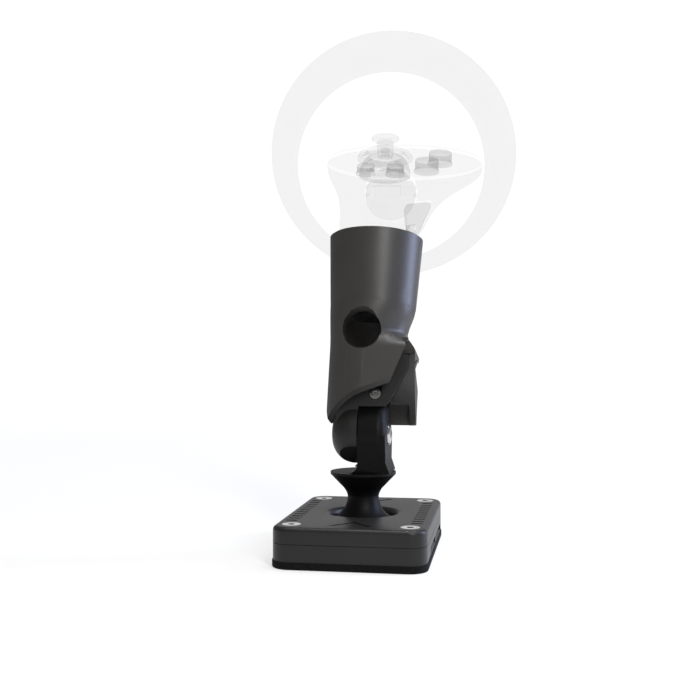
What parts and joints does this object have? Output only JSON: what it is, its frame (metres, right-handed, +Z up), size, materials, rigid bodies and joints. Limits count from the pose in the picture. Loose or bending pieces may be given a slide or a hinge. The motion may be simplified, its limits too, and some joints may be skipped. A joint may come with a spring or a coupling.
{
  "type": "vr motion controller",
  "caption": "Ring-type hand-held motion controller with thumbstick, buttons, trigger and grip button, seated in a hinged cup on a tilting desktop stick base.",
  "frame": {"origin": "centre of the base's underside, on the desk", "axes": "+X to the user's right, +Y away from the user, +Z up"},
  "size_m": [0.1287, 0.1372, 0.2682],
  "materials": {
    "rubber": "matt moulded rubber",
    "base_plastic": "fine satin grain",
    "stick_plastic": "satin black",
    "cup_plastic": "fine matt grain",
    "steel": "brushed",
    "chrome": "polished",
    "shell": "pale, see-through",
    "shell_face": "pale, see-through, smooth",
    "control": "pale grey, see-through",
    "board": "solder mask",
    "dark_soft": "soft liner",
    "light": "clear lens",
    "cell": "printed sleeve with no lettering"
  },
  "bodies": {
    "base": {"rubber_foot": "rubber", "base_tray": "base_plastic", "base_cover": "base_plastic", "cover_screws": "chrome", "ballast_plate": "steel", "gimbal_bracket": "steel", "gimbal_screws": "steel", "centring_spring": "steel"},
    "cross": {"gimbal_cross": "steel"},
    "stick": {"stick_yoke": "steel", "stick_shaft": "steel", "stick_spool": "stick_plastic", "stick_arm": "stick_plastic", "arm_grub_screw": "steel"},
    "wrist": {"friction_washer": "steel", "hinge_bolt": "chrome", "hinge_nut": "steel", "hinge_block": "stick_plastic", "block_screws": "chrome", "cup": "cup_plastic", "cup_liner": "dark_soft"},
    "controller": {"body_front": "shell", "body_rear": "shell", "case_screws": "steel", "trigger_pin": "steel", "grip_pin": "steel", "trigger_spring": "steel", "grip_spring": "steel", "battery": "cell", "battery_spring": "steel", "battery_contact": "steel", "battery_cradle": "shell", "face_plate": "shell_face", "thumb_bezel": "control", "thumb_dome_cover": "control", "thumb_module": "control", "main_board": "board", "button_switches": "control", "vibration_motor": "steel", "ring_outer_shell": "shell", "ring_inner_shell": "shell", "ring_strip": "board", "ring_lights": "light", "ring_bridge": "shell"},
    "trigger": {"trigger": "control"},
    "grip": {"grip_button": "control"},
    "upper_button": {"button_upper": "control"},
    "lower_button": {"button_lower": "control"},
    "menu_button": {"button_menu": "control"},
    "home_button": {"button_home": "control"},
    "thumb_cross": {"thumb_cross": "steel"},
    "thumb_post": {"thumb_post": "control", "thumb_press_spring": "steel"},
    "thumb_top": {"thumb_stem": "control", "thumb_cap": "control"}
  },
  "joints": [
    {"name": "stick_pitch", "type": "hinge", "parent": "base", "child": "cross", "pos_m": [0, 0, 0.0103], "axis": [1, 0, 0], "range_deg": [-15, 15], "stiffness_Nm_per_rad": 2, "deforming": ["centring_spring"]},
    {"name": "stick_roll", "type": "hinge", "parent": "cross", "child": "stick", "pos_m": [0, 0, 0.0103], "axis": [0, 1, 0], "range_deg": [-15, 15], "stiffness_Nm_per_rad": 2},
    {"name": "wrist_tilt", "type": "hinge", "parent": "stick", "child": "wrist", "pos_m": [0, 0, 0.057], "axis": [1, 0, 0], "range_deg": [-20, 30], "stiffness_Nm_per_rad": 3},
    {"name": "controller_lift", "type": "slide", "parent": "wrist", "child": "controller", "axis": [0.0256, 0.1736, 0.9845], "range_m": [0, 0.06]},
    {"name": "trigger_pull", "type": "hinge", "parent": "controller", "child": "trigger", "pos_m": [0.00947, 0.03671, 0.1815], "axis": [-0.9872, -0.1594, 0], "range_deg": [0, 14], "stiffness_Nm_per_rad": 0.05},
    {"name": "grip_squeeze", "type": "hinge", "parent": "controller", "child": "grip", "pos_m": [0.02004, 0.02997, 0.1605], "axis": [0.8108, -0.5854, 0], "range_deg": [0, 5], "stiffness_Nm_per_rad": 0.05},
    {"name": "upper_press", "type": "slide", "parent": "controller", "child": "upper_button", "axis": [-0.0748, 0.4635, -0.8829], "range_m": [0, 0.001], "stiffness_N_per_m": 400},
    {"name": "lower_press", "type": "slide", "parent": "controller", "child": "lower_button", "axis": [-0.0748, 0.4635, -0.8829], "range_m": [0, 0.001], "stiffness_N_per_m": 400},
    {"name": "menu_press", "type": "slide", "parent": "controller", "child": "menu_button", "axis": [-0.0748, 0.4635, -0.8829], "range_m": [0, 0.001], "stiffness_N_per_m": 150},
    {"name": "home_press", "type": "slide", "parent": "controller", "child": "home_button", "axis": [-0.0748, 0.4635, -0.8829], "range_m": [0, 0.001], "stiffness_N_per_m": 150},
    {"name": "thumb_tilt_fore_aft", "type": "hinge", "parent": "controller", "child": "thumb_cross", "pos_m": [0.00734, 0.02669, 0.18789], "axis": [0.9872, 0.1594, 0], "range_deg": [-10, 10], "stiffness_Nm_per_rad": 0.03},
    {"name": "thumb_tilt_sideways", "type": "hinge", "parent": "thumb_cross", "child": "thumb_post", "pos_m": [0.00734, 0.02669, 0.18789], "axis": [-0.1407, 0.8717, 0.4695], "range_deg": [-10, 10], "stiffness_Nm_per_rad": 0.03},
    {"name": "thumb_press", "type": "slide", "parent": "thumb_post", "child": "thumb_top", "axis": [-0.0748, 0.4635, -0.8829], "range_m": [0, 0.0006], "stiffness_N_per_m": 800, "deforming": ["thumb_press_spring"]}
  ]
}
